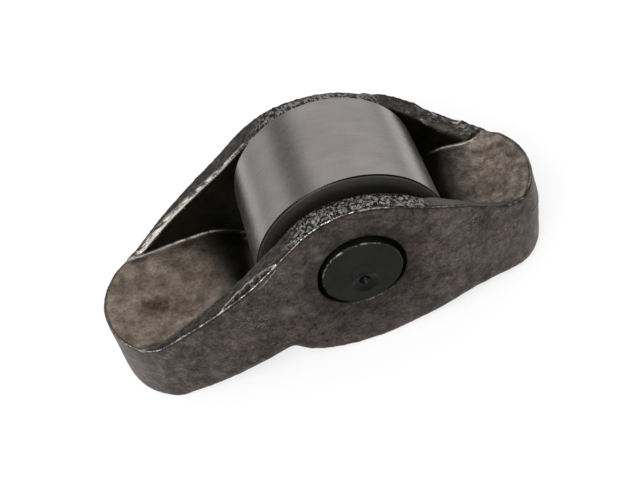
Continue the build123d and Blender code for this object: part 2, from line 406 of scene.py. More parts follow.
# a second, shorter fold on the far wall's land, valve end
fold2 = np.interp(x, [13.6, 14.6, 15.8, 17.0, 17.8],
                  [0.0, 0.75, 1.0, 0.7, 0.0]) * (y > 0)
on_fold2 = smooth(0.04, 0.25, fold2) * smooth(0.45, 0.1, np.abs(top_a))
lift = lift + 0.06 * on_fold2 * np.exp(-((top_b - fold2) / 0.17) ** 2)
lift = lift - 0.10 * on_fold2 * smooth(0.10, 0.32, fold2 - top_b) * smooth(
    0.10, 0.28, top_b)
co = co + nrm * lift[:, None]
co = np.clip(co, box_lo + 0.002, box_hi - 0.002)
set_coords(mesh, co)
say("relief")

tris = sum(len(p.vertices) - 2 for p in mesh.polygons)
if tris > FACES:
    m = arm.modifiers.new("thin", "DECIMATE")
    m.ratio = FACES / tris
    to_mesh(arm)
    mesh = arm.data
say("faces", len(mesh.polygons), "from", tris)

# ---------------------------------------------------------------------------
# masks for the material, per point
# ---------------------------------------------------------------------------
co = coords(mesh)
nrm = normals(mesh)
w = to_wall(co)
wn = to_wall(nrm)
x, y, z = w[:, 0], w[:, 1], w[:, 2]
d_top, top_a, top_b, _, _ = beside(co, "top")
d_in, in_a, in_b, _, _ = beside(co, "inner")
d_foot, foot_a, foot_b, _, _ = beside(co, "foot")
d_bot = distances(co, "bottom")
d_crease = distances(co, "crease")
d_other = distances(co, "other")
top_z = np.interp(x, TOP_LINE[:, 0], TOP_LINE[:, 1])
cad_n = np.empty_like(co)
for i, p in enumerate(co):
    cad_n[i] = bvh.find_nearest(p)[1]
wn_c = to_wall(cad_n)
ay = np.abs(y)
r_pin = np.hypot(x, z)
land = smooth(0.30, 0.6, wn_c[:, 2]) * (
    1.0 - smooth(0.8, 1.7, np.abs(top_z - z))) * smooth(
    -0.1, 0.5, ay - land_in(x, y)) * smooth(-26.5, -24.5, x) * smooth(
    18.8, 17.6, x)
grainzone = land * smooth(-7.8, -5.5, x + 0.6 * np.sin(3 * y)) * smooth(
    8.6, 7.6, x) * np.where(y > 0, 0.72, 1.0)
up = smooth(0.55, 0.8, wn_c[:, 2])
padmask = up * (1 - land) * (1 - smooth(0.5, 1.2, z - top_z))
add_mask(mesh, "land", land)
add_mask(mesh, "grain", grainzone)
add_mask(mesh, "padmask", padmask)
add_mask(mesh, "top_a", top_a)
add_mask(mesh, "top_b", top_b)
add_mask(mesh, "burr_k", np.where(y < 0, np.interp(
    x, [-29.0, -24.0, -17.0, -14.0, 3.0, 7.5, 10.0, 18.0, 22.0],
    [0.50, 0.50, 0.75, 0.92, 0.92, 0.58, 0.40, 0.40, 0.50]), np.interp(
    x, [-29.0, -20.0, 12.0, 18.0, 22.0], [0.30, 0.22, 0.35, 0.45, 0.30])))
add_mask(mesh, "sliver", land * smooth(7.6, 9.2, x) * (y < 0))
add_mask(mesh, "edge_low", np.exp(-(d_bot / 0.6) ** 2))
add_mask(mesh, "edge_in", np.exp(-(np.minimum(d_other, d_in) / 0.22) ** 2)
         * (r_pin > 5.6))
# painted shade along the concave creases and foot fillets
add_mask(mesh, "crease", np.exp(-(np.minimum(d_crease, d_foot) / 0.35) ** 2))
bw = np.maximum(bevel_width(x, y), 0.001)
add_mask(mesh, "bevel", smooth(1.75, 1.1, in_a / (0.62 * bw) + in_b / bw)
         * (bw > 0.08) * (in_a > -0.1) * (in_b > -0.1)
         * np.where(y > 0, 1.0, 0.35))
add_mask(mesh, "bevel_u", np.clip(in_b / bw, -1.0, 3.0))
# painted highlight: a pale line along the pads' foot fillets, the left pad most
foot = np.maximum(np.abs(foot_a), np.abs(foot_b))
add_mask(mesh, "foot", smooth(0.30, 0.12, foot) * (d_foot < 0.6)
         * np.where(x < 0, smooth(-13.0, -17.0, x),
                    0.55 * smooth(12.5, 14.0, x) * smooth(18.0, 17.0, x)))
fold = lens_edge(x) * (y < 0) * (1.0 + 0.28 * n2(w / 0.9 + 2.0))
on_fold = smooth(0.04, 0.25, fold) * smooth(0.6, 0.2, np.abs(top_a))
add_mask(mesh, "fold_line", np.where(on_fold > 0, (top_b - fold), 3.0))
add_mask(mesh, "fold_in", on_fold * smooth(0.05, 0.2, fold - top_b)
         * smooth(0.08, 0.2, top_b))
fold2 = np.interp(x, [13.6, 14.6, 15.8, 17.0, 17.8],
                  [0.0, 0.75, 1.0, 0.7, 0.0]) * (y > 0)
on_fold2 = smooth(0.04, 0.25, fold2) * smooth(0.6, 0.2, np.abs(top_a))
add_mask(mesh, "fold2_line", np.where(on_fold2 > 0, top_b - fold2, 3.0))
add_mask(mesh, "shear", land * smooth(9.0, 11.5, x) * (y > 0)
         + 0.5 * land * smooth(-6.5, -9.0, x))
# painted shade, partly oil, where the pads run down beside the roller, on the walls'
# inner faces and in the pocket
t_left = x + 0.25 * y
pad_end_shade = np.where(x < 0, smooth(-17.8, -13.4, t_left),
                smooth(18.2, 12.5, x - 0.10 * y))
flank = smooth(0.5, 0.75, np.abs(wn_c[:, 1])) * (
    wn_c[:, 1] * y < 0) * (ay > 5.0) * (1 - land) * smooth(19.0, 17.6, x)
side = 0.55 * smooth(5.6, 8.0, ay) * up * np.where(
    x < 0, smooth(-23.0, -18.0, x), 0.5 * smooth(19.0, 15.0, x))
pocket = ((ay < np.where(land > 0.3, 7.5, 8.7)) & (r_pin < 12.6)).astype(float)
# under the arm no painted shade is laid but in the pocket
low_side = smooth(-0.2, 0.2, wn_c[:, 2] + 0.25)
recess_shade = np.maximum.reduce([pad_end_shade * up * (ay < 8.6) * (1 - land), flank,
                          side * (1 - land), pocket * low_side])
add_mask(mesh, "recess_shade", np.clip(recess_shade, 0, 1))
# painted shade: the gap round the pin is darkened, most at the top
pin_gap_shade = ((r_pin < 5.25) & (r_pin > 4.3)) * np.interp(
    z + 0.35 * x, [-4.2, -2.8], [0.55, 1.0])
add_mask(mesh, "pin_gap_shade", pin_gap_shade)
outer = smooth(0.6, 0.3, np.abs(wn_c[:, 2])) * smooth(
    0.0, 0.3, (wn_c[:, 0] * x * 0.25 + wn_c[:, 1] * y))
add_mask(mesh, "boss", outer * (
    0.45 * (1.0 - smooth(7.5, 11.5, r_pin))
    + 0.55 * (1.0 - smooth(6.4, 7.4, r_pin))))
patch = np.maximum(
    1.0 - smooth(0.55, 1.15, np.hypot((x + 12.9) / 1.9, (z + 1.8) / 1.6)),
    1.0 - smooth(0.55, 1.15, np.hypot((x - 13.3) / 1.1, (z - 1.35) / 0.9)))
add_mask(mesh, "patch", patch * (y < -8.0) * outer)
def near_spot(cx, cz, rx, rz):
    return np.exp(-((x - cx) / rx) ** 2 - ((z - cz) / rz) ** 2) * (y < 0)


# painted light and shade on the near wall: lighter right of the pin and low at the
# left end, darker under the pin, low on the left and at the valve end
add_mask(mesh, "tone", 1.0 + outer * (
    0.50 * near_spot(8.9, -0.3, 2.6, 3.0) + 0.26 * near_spot(-26.3, -9.3, 3.5, 3.0)
    - 0.32 * near_spot(-0.7, -8.8, 4.5, 2.4) - 0.12 * near_spot(-20, -6.8, 3, 3)
    - 0.15 * near_spot(20.2, -4.6, 2.0, 3.0)))
wob = Noise(97)
wx = x + 0.5 * wob(w / 1.3)
wy = y + 0.5 * wob(w / 1.3 + 9.0)


def blot(cx, cy, rx, ry):
    return np.exp(-(((wx - cx) / rx) ** 2 + ((wy - cy) / ry) ** 2))


rust = np.maximum.reduce([
    0.9 * blot(-18.4, 2.6, 1.7, 1.9), 0.9 * blot(-20.0, -3.3, 0.45, 0.55),
    0.8 * blot(19.2, 3.9, 0.9, 0.8), 0.9 * blot(15.4, -1.2, 1.3, 0.8),
    0.5 * blot(-26.6, -2.6, 0.9, 1.4), 0.4 * blot(-19.9, 4.9, 1.0, 0.8)])
smudge = np.maximum.reduce([
    1.25 * blot(-23.4, -0.5, 2.6, 2.4), blot(-25.75, -3.75, 0.42, 0.34),
    0.5 * blot(-27.4, 4.6, 0.5, 1.3), 0.85 * blot(21.2, 1.5, 0.42, 0.55),
    0.8 * blot(20.7, 3.4, 0.36, 0.50), 0.9 * blot(22.75, -0.1, 0.26, 0.5),
    0.6 * blot(20.9, -1.2, 0.32, 0.4), 0.55 * blot(15.2, 2.6, 1.3, 1.0)])
add_mask(mesh, "rust", rust * padmask)
add_mask(mesh, "smudge", smudge * padmask)
# painted light: everything at the far left end is made lighter
add_mask(mesh, "end_painted_light", smooth(-23.5, -28.0, x))
for p in mesh.polygons:
    p.use_smooth = True
mesh.transform(Matrix.Scale(MM, 4))
say("masks")


# ---------------------------------------------------------------------------
# materials
# ---------------------------------------------------------------------------
class Tree:
    """Short hand for building node trees."""

    def __init__(self, name):
        self.mat = bpy.data.materials.new(name)
        self.mat.use_nodes = True
        self.nt = self.mat.node_tree
        self.nt.nodes.clear()
        self.out = self.nt.nodes.new("ShaderNodeOutputMaterial")
        self.bsdf = self.nt.nodes.new("ShaderNodeBsdfPrincipled")
        self.nt.links.new(self.bsdf.outputs[0], self.out.inputs[0])
        tc = self.nt.nodes.new("ShaderNodeTexCoord")
        mp = self.nt.nodes.new("ShaderNodeMapping")
        mp.inputs["Scale"].default_value = (1000.0, 1000.0, 1000.0)
        self.nt.links.new(tc.outputs["Object"], mp.inputs["Vector"])
        self.mm = mp.outputs["Vector"]     # position in millimetres

    def link(self, value, socket):
        if isinstance(value, bpy.types.NodeSocket):
            self.nt.links.new(value, socket)
        elif isinstance(value, (tuple, list)):
            socket.default_value = tuple(value) + (1.0,) * (
                len(socket.default_value) - len(value))
        else:
            socket.default_value = value

    def set(self, name, value):
        self.link(value, self.bsdf.inputs[name])

    def mask(self, name):
        n = self.nt.nodes.new("ShaderNodeAttribute")
        n.attribute_name = name
        return n.outputs["Fac"]

    def math(self, op, a, b=0.0, c=0.0, clamp=False):
        n = self.nt.nodes.new("ShaderNodeMath")
        n.operation = op
        n.use_clamp = clamp
        self.link(a, n.inputs[0])
        self.link(b, n.inputs[1])
        self.link(c, n.inputs[2])
        return n.outputs[0]

    def mul(self, a, b, clamp=False):
        return self.math("MULTIPLY", a, b, clamp=clamp)

    def add(self, a, b, clamp=False):
        return self.math("ADD", a, b, clamp=clamp)

    def sub(self, a, b, clamp=False):
        return self.math("SUBTRACT", a, b, clamp=clamp)

    def ramp(self, value, lo, hi, to_lo=0.0, to_hi=1.0):
        n = self.nt.nodes.new("ShaderNodeMapRange")
        n.interpolation_type = "SMOOTHSTEP"
        self.link(value, n.inputs["Value"])
        n.inputs["From Min"].default_value = lo
        n.inputs["From Max"].default_value = hi
        n.inputs["To Min"].default_value = to_lo
        n.inputs["To Max"].default_value = to_hi
        return n.outputs["Result"]

    def axis(self, which):
        n = self.nt.nodes.new("ShaderNodeSeparateXYZ")
        self.nt.links.new(self.mm, n.inputs[0])
        return n.outputs[which]

    def radial(self):
        """Distance from the Y axis."""
        n = self.nt.nodes.new("ShaderNodeVectorMath")
        n.operation = "LENGTH"
        self.nt.links.new(self.moved(scale=(1, 0, 1)), n.inputs[0])
        return n.outputs["Value"]

    def moved(self, offset=(0, 0, 0), scale=(1, 1, 1), rot=(0, 0, 0)):
        n = self.nt.nodes.new("ShaderNodeMapping")
        n.inputs["Location"].default_value = offset
        n.inputs["Scale"].default_value = scale
        n.inputs["Rotation"].default_value = rot
        self.nt.links.new(self.mm, n.inputs["Vector"])
        return n.outputs["Vector"]

    def noise(self, size, detail=3.0, rough=0.55, offset=(0, 0, 0),
              stretch=(1, 1, 1), distort=0.0, rot=(0, 0, 0)):
        n = self.nt.nodes.new("ShaderNodeTexNoise")
        v = self.moved(offset, tuple(1.0 / s for s in stretch), rot)
        self.nt.links.new(v, n.inputs["Vector"])
        n.inputs["Scale"].default_value = 1.0 / size
        n.inputs["Detail"].default_value = detail
        n.inputs["Roughness"].default_value = rough
        n.inputs["Distortion"].default_value = distort
        return n.outputs["Fac"]

    def cells(self, size, offset=(0, 0, 0), stretch=(1, 1, 1),
              randomness=1.0):
        n = self.nt.nodes.new("ShaderNodeTexVoronoi")
        v = self.moved(offset, tuple(1.0 / s for s in stretch))
        self.nt.links.new(v, n.inputs["Vector"])
        n.inputs["Scale"].default_value = 1.0 / size
        n.inputs["Randomness"].default_value = randomness
        return n.outputs["Distance"], n.outputs["Color"]

    def mix(self, fac, a, b, blend="MIX"):
        n = self.nt.nodes.new("ShaderNodeMix")
        n.data_type = "RGBA"
        n.blend_type = blend
        self.link(fac, n.inputs[0])
        self.link(a, n.inputs[6])
        self.link(b, n.inputs[7])
        return n.outputs[2]

    def spot(self, centre, radius, soft=0.5):
        """1 inside a ball of this radius in millimetres, fading out over it."""
        n = self.nt.nodes.new("ShaderNodeVectorMath")
        n.operation = "DISTANCE"
        self.nt.links.new(self.mm, n.inputs[0])
        n.inputs[1].default_value = centre
        return self.ramp(n.outputs["Value"], radius * (1 - soft),
                         radius * (1 + soft), 1.0, 0.0)

    def bump(self, height, strength=1.0, distance=0.0001, after=None):
        n = self.nt.nodes.new("ShaderNodeBump")
        n.inputs["Strength"].default_value = strength
        n.inputs["Distance"].default_value = distance
        self.link(height, n.inputs["Height"])
        if after is not None:
            self.nt.links.new(after, n.inputs["Normal"])
        return n.outputs["Normal"]


def forged_material():
    t = Tree("forged_steel")
    land, grain = t.mask("land"), t.mask("grain")
    pad, crease = t.mask("padmask"), t.mask("crease")
    top_a, top_b = t.mask("top_a"), t.mask("top_b")
    low, inner = t.mask("edge_low"), t.mask("edge_in")
    recess_shade, boss, patch = t.mask("recess_shade"), t.mask("boss"), t.mask("patch")
    big = t.noise(7.0, 3.0, 0.6)
    mid = t.noise(1.9, 4.0, 0.6, (13, 5, 2))
    fine = t.noise(0.42, 3.0, 0.6, (3, 9, 4))
    speck = t.noise(0.17, 2.0, 0.6, (8, 1, 7))
    tone = t.add(t.mul(t.sub(big, 0.5), 0.9), t.mul(t.sub(mid, 0.5), 0.8))
    base = t.mix(t.ramp(tone, -0.24, 0.24), (0.040, 0.035, 0.0325),
                 (0.088, 0.077, 0.073))
    # faint reddish and greenish patches
    red = t.ramp(t.noise(4.2, 3.0, 0.6, (31, 7, 19)), 0.5, 0.68)
    base = t.mix(t.mul(red, 0.55), base, (0.105, 0.078, 0.072))
    green = t.ramp(t.noise(5.0, 3.0, 0.6, (57, 23, 9)), 0.52, 0.7)
    base = t.mix(t.mul(green, 0.5), base, (0.066, 0.067, 0.054))
    base = t.mix(t.mul(t.ramp(speck, 0.52, 0.70), 0.42), base,
                 (0.17, 0.155, 0.14))
    base = t.mix(t.mul(t.ramp(speck, 0.46, 0.30), 0.50), base,
                 (0.022, 0.019, 0.018))
    base = t.mix(t.mul(t.ramp(fine, 0.48, 0.30), 0.45), base,
                 (0.028, 0.024, 0.021))
    base = t.mix(t.mul(boss, 0.85), base, (0.030, 0.0265, 0.0245))
    mott = t.noise(1.2, 5.0, 0.72, (19, 2, 6))
    base = t.mix(1.0, base, t.mix(t.ramp(mott, 0.30, 0.70),
                                  (0.54, 0.505, 0.495), (1.50, 1.40, 1.38)),
                 "MULTIPLY")
    mf = t.noise(0.50, 3.0, 0.75, (23, 14, 7))
    base = t.mix(1.0, base, t.mix(t.ramp(mf, 0.34, 0.66), (0.74, 0.72, 0.72),
                                  (1.26, 1.23, 1.22)), "MULTIPLY")
    # the tone mask multiplies in painted light and shade on the near wall
    base = t.mix(1.0, base, t.mask("tone"), "MULTIPLY")
    rb = t.ramp(t.noise(2.4, 4.0, 0.7, (3, 31, 12)), 0.52, 0.68)
    base = t.mix(t.mul(rb, 0.42), base, (0.092, 0.070, 0.066))
    dd, _ = t.cells(0.85, (2, 7, 3))
    dots = t.mul(t.ramp(dd, 0.10, 0.19, 1.0, 0.0),
                 t.ramp(t.noise(2.2, 3.0, 0.6, (5, 5, 25)), 0.50, 0.60))
    base = t.mix(t.mul(dots, 0.7), base, (0.018, 0.014, 0.013))
    # painted light at the far left end
    base = t.mix(t.mul(t.mask("end_painted_light"), 0.35), base, (0.135, 0.120, 0.112))
    # granular patches, light grains on a dark ground
    pg = t.noise(0.30, 2.5, 0.75, (16, 6, 26))
    patch_c = t.mix(t.ramp(pg, 0.44, 0.62), (0.016, 0.015, 0.014),
                    (0.15, 0.14, 0.13))
    base = t.mix(t.mul(patch, 0.60), base, patch_c)
    # small dark pits low on the near wall and elsewhere
    for place, r in PITS:
        base = t.mix(t.mul(t.spot(place, r, 0.45), 0.85), base,
                     (0.014, 0.010, 0.009))
    for place, r in BLOTCHES:
        base = t.mix(t.mul(t.spot(place, r, 0.9), 0.5), base,
                     (0.150, 0.132, 0.126))
    # pads: paler tan grey with rust stains and a dark smudge
    tan = t.mix(t.ramp(t.noise(2.6, 4.0, 0.65, (4, 44, 2)), 0.36, 0.66),
                (0.140, 0.112, 0.088), (0.272, 0.224, 0.184))
    tan = t.mix(t.mul(t.ramp(t.noise(0.55, 3.0, 0.7, (9, 4, 12)), 0.50, 0.72),
                      0.40), tan, (0.110, 0.088, 0.066))
    brown = t.ramp(t.noise(1.3, 4.0, 0.7, (71, 3, 5)), 0.53, 0.72)
    tan = t.mix(t.mul(brown, 0.35), tan, (0.150, 0.110, 0.070))
    blotch = t.ramp(t.noise(0.60, 4.0, 0.75, (5, 12, 8)), 0.34, 0.60)
    rust = t.mul(t.mask("rust"), t.add(t.mul(blotch, 0.8), 0.2), clamp=True)
    tan = t.mix(t.mul(rust, 0.85), tan, (0.095, 0.055, 0.026))
    smudge = t.mul(t.mask("smudge"), t.add(t.mul(t.sub(1.0, blotch), 0.45),
                                           0.58), clamp=True)
    tan = t.mix(smudge, tan, (0.056, 0.039, 0.026))
    dot_p = t.mul(t.ramp(dd, 0.09, 0.17, 1.0, 0.0),
                  t.ramp(t.noise(1.9, 3.0, 0.6, (35, 5, 5)), 0.47, 0.58))
    tan = t.mix(t.mul(dot_p, 0.75), tan, (0.040, 0.026, 0.018))
    dust = t.ramp(t.noise(0.26, 3.0, 0.8, (14, 3, 9)), 0.54, 0.68)
    tan = t.mix(t.mul(dust, 0.42), tan, (0.070, 0.052, 0.038))
    light = t.ramp(t.noise(3.4, 3.0, 0.6, (4, 8, 16)), 0.48, 0.66)
    tan = t.mix(t.mul(light, 0.40), tan, (0.320, 0.270, 0.228))
    cl = t.noise(1.15, 4.0, 0.72, (61, 9, 33))
    valve = t.ramp(t.axis("X"), -6.0, 6.0, 0.35, 1.0)
    tan = t.mix(valve, tan, t.mix(1.0, tan, t.mix(
        t.ramp(cl, 0.34, 0.66), (0.62, 0.59, 0.58), (1.34, 1.33, 1.34)),
        "MULTIPLY"))
    cf = t.noise(0.36, 3.0, 0.75, (11, 19, 3))
    tan = t.mix(1.0, tan, t.mix(t.ramp(cf, 0.36, 0.64), (0.84, 0.82, 0.80),
                                (1.12, 1.12, 1.12)), "MULTIPLY")
    tan = t.mix(1.0, tan, t.mix(t.ramp(t.axis("X"), -6.0, 6.0),
                                (1.06, 1.07, 1.08), (1.13, 1.17, 1.24)),
                "MULTIPLY")
    base = t.mix(pad, base, tan)
    # trimmed lands
    sheared = t.noise(0.5, 3.0, 0.7, (1, 2, 3), (2.4, 1.0, 1.0))
    land_c = t.mix(t.ramp(sheared, 0.35, 0.7), (0.034, 0.029, 0.026),
                   (0.085, 0.075, 0.068))
    base = t.mix(land, base, land_c)
    base = t.mix(t.mul(t.mask("sliver"), 0.8), base, (0.105, 0.100, 0.090))
    gr = t.noise(0.34, 2.5, 0.75, (6, 6, 6))
    grain_c = t.mix(t.ramp(gr, 0.45, 0.59), (0.017, 0.015, 0.014),
                    (0.42, 0.40, 0.38))
    base = t.mix(t.mul(grain, 0.92), base, grain_c)
    torn = t.ramp(t.noise(0.45, 3.0, 0.8, (2, 5, 9), (2.6, 1.0, 1.6)),
                  0.52, 0.68)
    base = t.mix(t.mul(t.mul(t.mask("shear"), torn), 0.75), base,
                 (0.30, 0.28, 0.26))
    # painted shade in the creases, and painted shade, partly oil, beside the roller
    base = t.mix(t.mul(crease, 0.45), base, (0.030, 0.026, 0.023))
    base = t.mix(t.mul(recess_shade, 0.95), base, (0.0170, 0.0172, 0.0135))
    base = t.mix(t.mul(inner, 0.18), base, (0.20, 0.185, 0.17))
    # dark borders and the bright broken burr along the outer upper edge
    gap_w = t.math("MAXIMUM", top_a, top_b)
    dark_line = t.mul(t.ramp(gap_w, 0.10, 0.20), t.ramp(gap_w, 0.46, 0.24))
    base = t.mix(t.mul(dark_line, 0.62), base, (0.016, 0.014, 0.012))
    breaks = t.ramp(t.noise(0.50, 4.0, 0.85, (2, 8, 5)), 0.42, 0.57, 0.10, 1.0)
    wide = t.ramp(t.noise(1.4, 3.0, 0.7, (12, 3, 5)), 0.35, 0.65, 0.04, 0.13)
    line = t.math("SUBTRACT", wide, gap_w)
    line = t.mul(t.ramp(line, -0.04, 0.03), breaks, clamp=True)
    line = t.mul(line, t.mask("burr_k"))
    # the fold's borders and its dark middle
    streak = t.ramp(t.noise(0.30, 3.0, 0.8, (4, 3, 7), (3.2, 1.0, 2.4)),
                    0.52, 0.64)
    fold_c = t.mix(streak, (0.014, 0.012, 0.011), (0.20, 0.185, 0.17))
    base = t.mix(t.mul(t.mask("fold_in"), 0.85), base, fold_c)
    fl = t.math("ABSOLUTE", t.mask("fold_line"))
    fb = t.ramp(t.noise(0.6, 3.0, 0.75, (22, 8, 5)), 0.34, 0.5)
    fold = t.mul(t.ramp(fl, 0.13, 0.04), t.add(t.mul(fb, 0.66), 0.04))
    f2 = t.math("ABSOLUTE", t.mask("fold2_line"))
    fold2 = t.mul(t.mul(t.ramp(f2, 0.18, 0.07), fb), 0.8)
    bev = t.mul(t.mask("bevel"), t.ramp(
        t.noise(0.34, 3.0, 0.75, (7, 7, 1), (5.0, 1.0, 3.6)), 0.42, 0.58))
    core = t.mul(t.ramp(t.mask("bevel_u"), 0.62, 0.40), t.ramp(
        t.noise(0.8, 3.0, 0.7, (1, 17, 4)), 0.28, 0.42, 0.45, 1.0))
    bev = t.math("MAXIMUM", bev, t.mul(core, t.mask("bevel")))
    # the pale foot line is a painted highlight
    foot = t.mul(t.mask("foot"), t.ramp(
        t.noise(1.6, 2.0, 0.6, (17, 7, 1)), 0.25, 0.5), clamp=True)
    shine = t.math("MAXIMUM", line, t.math("MAXIMUM", fold, fold2))
    base = t.mix(shine, base, (0.60, 0.56, 0.525))
    base = t.mix(t.mul(bev, 0.88), base, (0.50, 0.455, 0.42))
    base = t.mix(t.mul(foot, 0.8), base, (0.34, 0.32, 0.29))
    # painted shade in the gap round the pin
    base = t.mix(t.mul(t.mask("pin_gap_shade"), 0.93), base, (0.008, 0.0075, 0.007))
    t.set("Base Color", base)
    t.set("Metallic", 1.0)
    rough = t.add(t.ramp(mid, 0.3, 0.7, 0.42, 0.56),
                  t.mul(t.sub(fine, 0.5), 0.2))
    rough = t.sub(rough, t.mul(shine, 0.18), clamp=True)
    t.set("Roughness", rough)
    d, _ = t.cells(1.1, (3, 3, 3))
    pit_on = t.ramp(t.noise(3.0, 2.0, 0.5, (9, 4, 6)), 0.5, 0.65)
    pits = t.mul(t.ramp(d, 0.10, 0.26, 1.0, 0.0), pit_on)
    h = t.add(t.mul(t.sub(mid, 0.5), 0.6), t.mul(t.sub(fine, 0.5), 0.55))
    h = t.add(h, t.mul(t.sub(speck, 0.5), 0.22))
    h = t.sub(h, t.mul(pits, 0.35))
    h = t.add(h, t.mul(t.mul(grain, t.sub(gr, 0.5)), 1.6))
    h = t.add(h, t.mul(t.mul(patch, t.sub(pg, 0.5)), 1.2))
    t.set("Normal", t.bump(h, 0.55, 0.00012))
    t.set("Specular IOR Level", 0.5)
    return t.mat


# frame millimetres
PITS = [((-3.41, -10.2, -5.56), 0.20), ((-3.77, -10.2, -8.27), 0.16),
        ((-6.47, -10.6, -7.38), 0.22), ((-6.34, -10.6, -8.92), 0.24),
        ((-8.08, -10.9, -2.99), 0.18), ((-6.94, -10.7, -5.21), 0.17),
        ((-9.9, -10.9, -4.1), 0.17), ((-24.6, -8.4, -11.3), 0.16),
        ((7.3, -10.05, -6.4), 0.30), ((12.4, -9.2, -2.6), 0.15)]
BLOTCHES = [((-3.97, -10.35, 6.19), 0.42), ((-4.10, -10.35, 4.85), 0.50),
            ((-9.1, -10.9, -1.2), 0.7), ((-19.5, -9.9, -8.6), 0.8)]


def roller_material():
    t = Tree("ground_roller")
    lines = t.noise(0.07, 3.0, 0.7, (0, 3, 0), (50, 1.0, 50), 0.4)
    wide = t.noise(0.9, 3.0, 0.7, (5, 3, 0), (3.5, 1.0, 3.5))
    cloud = t.noise(5.0, 3.0, 0.6, (7, 5, 3))
    tone = t.add(t.mul(t.sub(lines, 0.5), 0.45), t.mul(t.sub(wide, 0.5), 0.4))
    tone = t.add(tone, t.mul(t.sub(cloud, 0.5), 0.6))
    base = t.mix(t.ramp(tone, -0.3, 0.3), (0.268, 0.249, 0.239),
                 (0.350, 0.327, 0.314))
    # the chamfers and end faces are left dark, only the tread is ground
    side = t.math("ABSOLUTE", t.axis("Y"))
    dark = t.ramp(side, 6.57, 6.62)
    flat = t.ramp(side, 6.73, 6.745)
    face = t.mix(t.ramp(cloud, 0.3, 0.7), (0.032, 0.030, 0.027),
                 (0.044, 0.042, 0.038))
    # painted shade: the end faces fade dark inward, toward the walls beside them
    face = t.mix(t.ramp(t.radial(), 9.3, 10.6, 0.72, 0.0), face,
                 (0.004, 0.004, 0.0035))
    # painted light: a paler ring just inside the chamfer
    lip = t.mul(t.ramp(t.radial(), 10.72, 10.80),
                t.ramp(t.radial(), 10.98, 10.92))
    face = t.mix(t.mul(lip, 0.5), face, (0.105, 0.100, 0.092))
    face = t.mix(flat, (0.010, 0.0095, 0.009), face)
    base = t.mix(dark, base, face)
    t.set("Base Color", base)
    t.set("Metallic", t.sub(1.0, t.mul(flat, 0.65)))
    t.set("Roughness", t.add(t.ramp(lines, 0.3, 0.7, 0.25, 0.33),
                             t.mul(flat, 0.18)))
    h = t.add(lines, t.mul(wide, 0.5))
    t.set("Normal", t.bump(h, 0.22, 0.00003))
    return t.mat


def pin_material():
    t = Tree("dark_pin")
    cloud = t.noise(2.2, 4.0, 0.6, (7, 5, 3))
    fine = t.noise(0.25, 3.0, 0.6, (1, 5, 8))
    base = t.mix(t.ramp(cloud, 0.35, 0.65), (0.0036, 0.0041, 0.0033),
                 (0.0066, 0.0073, 0.0060))
    # a thin worn ring where the flat end meets its chamfer, brightest on its upper
    # left as a painted highlight
    rim = t.mul(t.ramp(t.math("ABSOLUTE", t.axis("Y")), 10.02, 10.08),
                t.mul(t.ramp(t.radial(), 4.43, 4.47),
                      t.ramp(t.radial(), 4.60, 4.55)))
    glint_side = t.sub(t.mul(t.axis("Z"), 0.9), t.mul(t.axis("X"), 0.45))
    wear_and_glint = t.mul(rim, t.ramp(t.noise(0.8, 3.0, 0.7, (3, 3, 7)), 0.40, 0.62))
    wear_and_glint = t.mul(wear_and_glint, t.ramp(glint_side, 1.5, 4.0, 0.22, 1.0))
    base = t.mix(t.mul(wear_and_glint, 0.9), base, (0.24, 0.24, 0.22))
    # a darker ring round the centre drilling
    cup = t.mul(t.ramp(t.radial(), 1.05, 1.25), t.ramp(t.radial(), 1.62, 1.42))
    base = t.mix(t.mul(cup, 0.6), base, (0.0014, 0.0014, 0.0012))
    t.set("Base Color", base)
    t.set("Metallic", t.mul(wear_and_glint, 0.7))
    t.set("Roughness", t.ramp(cloud, 0.3, 0.7, 0.26, 0.36))
    t.set("Specular IOR Level", 0.085)
    t.set("Normal", t.bump(t.add(fine, t.mul(cloud, 0.6)), 0.15, 0.00005))
    return t.mat


def needle_material():
    t = Tree("needle_steel")
    lines = t.noise(0.08, 3.0, 0.7, (0, 3, 0), (1, 40.0, 1))
    base = t.mix(t.ramp(lines, 0.3, 0.7), (0.42, 0.41, 0.40),
                 (0.56, 0.55, 0.54))
    t.set("Base Color", base)
    t.set("Metallic", 1.0)
    t.set("Roughness", t.ramp(lines, 0.3, 0.7, 0.18, 0.30))
    return t.mat


def dress(obj, mat):
    obj.data.materials.clear()
    obj.data.materials.append(mat)


dress(arm, forged_material())
dress(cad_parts["roller"], roller_material())
dress(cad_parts["pin"], pin_material())
needle_mat = needle_material()
for name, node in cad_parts.items():
    if name.startswith("needle"):
        dress(node, needle_mat)
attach(arm, "arm")
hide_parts("rocker_body")
say("materials")

# ---------------------------------------------------------------------------
# floor, light and camera
# ---------------------------------------------------------------------------
floor_z = min(v.co.z for v in arm.data.vertices)
bm = bmesh.new()
bmesh.ops.create_grid(bm, x_segments=2, y_segments=2, size=6.0)
me = bpy.data.meshes.new("floor")
bm.to_mesh(me)
bm.free()
floor = bpy.data.objects.new("floor", me)
floor.location = (0, 0, floor_z - 0.00002)
scene.collection.objects.link(floor)
fm = bpy.data.materials.new("floor")
fm.use_nodes = True
fb = fm.node_tree.nodes["Principled BSDF"]
fb.inputs["Base Color"].default_value = (0.26, 0.26, 0.26, 1)
fb.inputs["Emission Color"].default_value = (1, 1, 1, 1)
